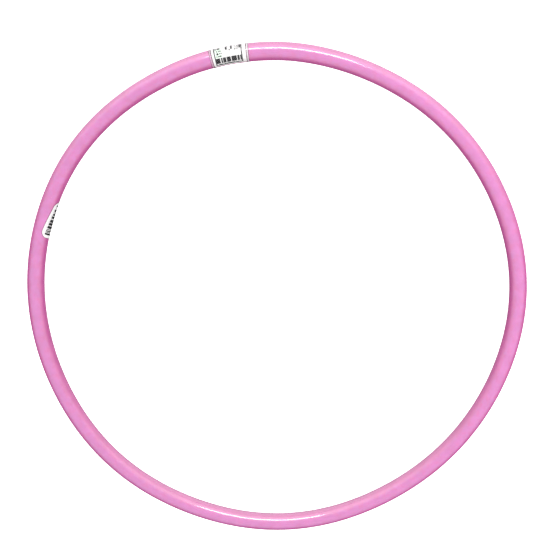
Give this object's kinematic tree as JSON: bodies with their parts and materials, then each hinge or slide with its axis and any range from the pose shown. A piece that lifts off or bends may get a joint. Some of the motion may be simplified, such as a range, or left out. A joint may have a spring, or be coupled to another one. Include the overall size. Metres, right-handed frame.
{
  "type": "rhythmic gymnastics hoop",
  "caption": "Plain round gymnastics hoop: one hollow plastic tube closed into a ring by an inner plug, with a taped paper label over the joint and a slanted sticker.",
  "frame": {"origin": "centre of the ring, at mid-height of the tube, with the hoop lying flat", "axes": "+Z is the ring's axis, upwards; +Y points from the centre to the joint of the tube, under the middle of the label"},
  "size_m": [0.6, 0.6001, 0.0214],
  "materials": {
    "tube_plastic": "gloss",
    "plug_plastic": "satin",
    "staple_steel": "satin",
    "label_paper": "matte",
    "clear_tape": "gloss",
    "sticker_paper": "matte"
  },
  "bodies": {
    "root": {"hoop_tube": "tube_plastic", "joint_plug": "plug_plastic", "staple_left": "staple_steel", "staple_right": "staple_steel", "joint_label": "label_paper", "joint_tape": "clear_tape", "price_sticker": "sticker_paper"}
  },
  "joints": []
}
